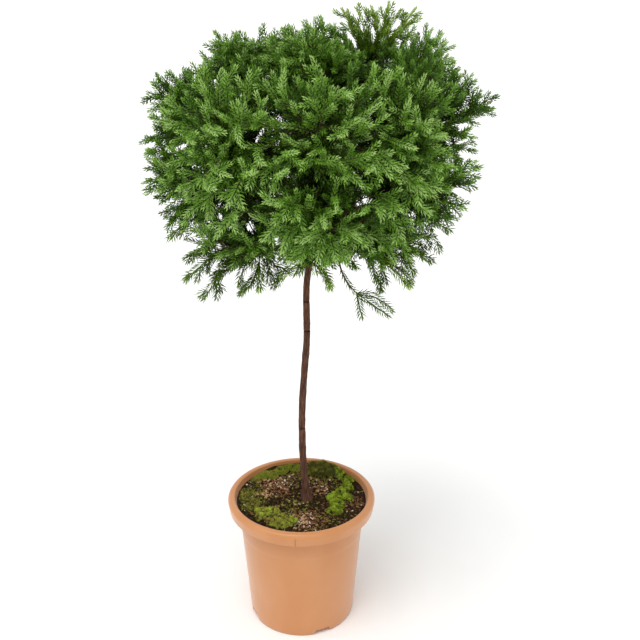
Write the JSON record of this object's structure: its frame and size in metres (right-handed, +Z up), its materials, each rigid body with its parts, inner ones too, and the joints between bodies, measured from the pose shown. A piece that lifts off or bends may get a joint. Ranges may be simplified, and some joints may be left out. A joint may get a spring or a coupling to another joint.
{
  "type": "potted japanese cedar",
  "caption": "Dwarf globe Japanese cedar grown as a standard: a round crown of foxtail sprays on a bare slender stem, planted in a tapered round pot with a rolled rim.",
  "frame": {"origin": "centre of the pot's flat underside", "axes": "+Z up along the stem; -Y is the front, the side the plant is seen from; +X to the right"},
  "size_m": [0.5771, 0.5049, 1.1398],
  "materials": {
    "pot": "satin moulded plastic in terracotta colour",
    "potting_mix": "damp peat and bark mix",
    "moss": "low green moss",
    "trunk_bark": "thin dark reddish brown bark",
    "bough_bark": "thin reddish brown bark",
    "needles": "fresh green awl-shaped needles"
  },
  "bodies": {
    "root": {"bough_back": "bough_bark", "bough_back_left": "bough_bark", "bough_back_low": "bough_bark", "bough_back_right": "bough_bark", "bough_back_top": "bough_bark", "bough_drooping_spray": "bough_bark", "bough_front": "bough_bark", "bough_front_left": "bough_bark", "bough_front_low": "bough_bark", "bough_front_right": "bough_bark", "bough_front_top": "bough_bark", "bough_leader": "bough_bark", "bough_left": "bough_bark", "bough_left_low": "bough_bark", "bough_low_centre": "bough_bark", "bough_low_left": "bough_bark", "bough_low_right": "bough_bark", "bough_right_fan": "bough_bark", "bough_right_low": "bough_bark", "bough_top": "bough_bark", "bough_top_left": "bough_bark", "bough_top_right": "bough_bark", "mass_back": "needles", "mass_back_left": "needles", "mass_back_low": "needles", "mass_back_right": "needles", "mass_back_top": "needles", "mass_drooping_spray": "needles", "mass_front": "needles", "mass_front_left": "needles", "mass_front_low": "needles", "mass_front_right": "needles", "mass_front_top": "needles", "mass_leader": "needles", "mass_left": "needles", "mass_left_low": "needles", "mass_low_centre": "needles", "mass_low_left": "needles", "mass_low_right": "needles", "mass_right_fan": "needles", "mass_right_low": "needles", "mass_top": "needles", "mass_top_left": "needles", "mass_top_right": "needles", "moss_back_left": "moss", "moss_back_right": "moss", "moss_front_left": "moss", "moss_right": "moss", "pot": "pot", "soil": "potting_mix", "trunk": "trunk_bark"}
  },
  "joints": []
}
